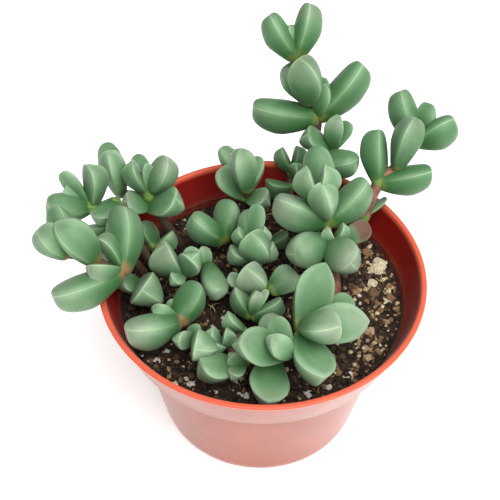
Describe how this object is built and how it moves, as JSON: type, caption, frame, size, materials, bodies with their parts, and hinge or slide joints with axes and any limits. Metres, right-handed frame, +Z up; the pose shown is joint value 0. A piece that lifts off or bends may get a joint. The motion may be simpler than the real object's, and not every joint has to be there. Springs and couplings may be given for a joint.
{
  "type": "potted ice plant",
  "caption": "Small potted succulent: short branching stems with pairs of plump, three-sided, blue-green leaves in a shallow round pot filled with soil.",
  "frame": {"origin": "centre of the pot's flat underside", "axes": "+Z up through the open top of the pot, -Y towards the front, +X to the right"},
  "size_m": [0.1262, 0.1186, 0.1128],
  "materials": {
    "pot": "smooth orange-red moulded plastic with a soft shine",
    "soil": "dark damp peat with tan crumbs and pale grit",
    "leaf": "firm succulent leaf skin, blue-green with a pale waxy bloom and yellow-green edges"
  },
  "bodies": {
    "root": {"pot": "pot", "soil": "soil", "shoot_tall": "leaf", "shoot_tall_foot": "leaf", "shoot_middle_right": "leaf", "shoot_outer_right": "leaf", "shoot_front": "leaf", "shoot_front_low": "leaf", "shoot_left_front": "leaf", "shoot_left_inner": "leaf", "shoot_left_bud": "leaf", "shoot_left_outer": "leaf", "shoot_left_low": "leaf", "shoot_left_back": "leaf", "shoot_back_left": "leaf", "shoot_back": "leaf", "shoot_back_centre": "leaf", "shoot_centre": "leaf"}
  },
  "joints": []
}
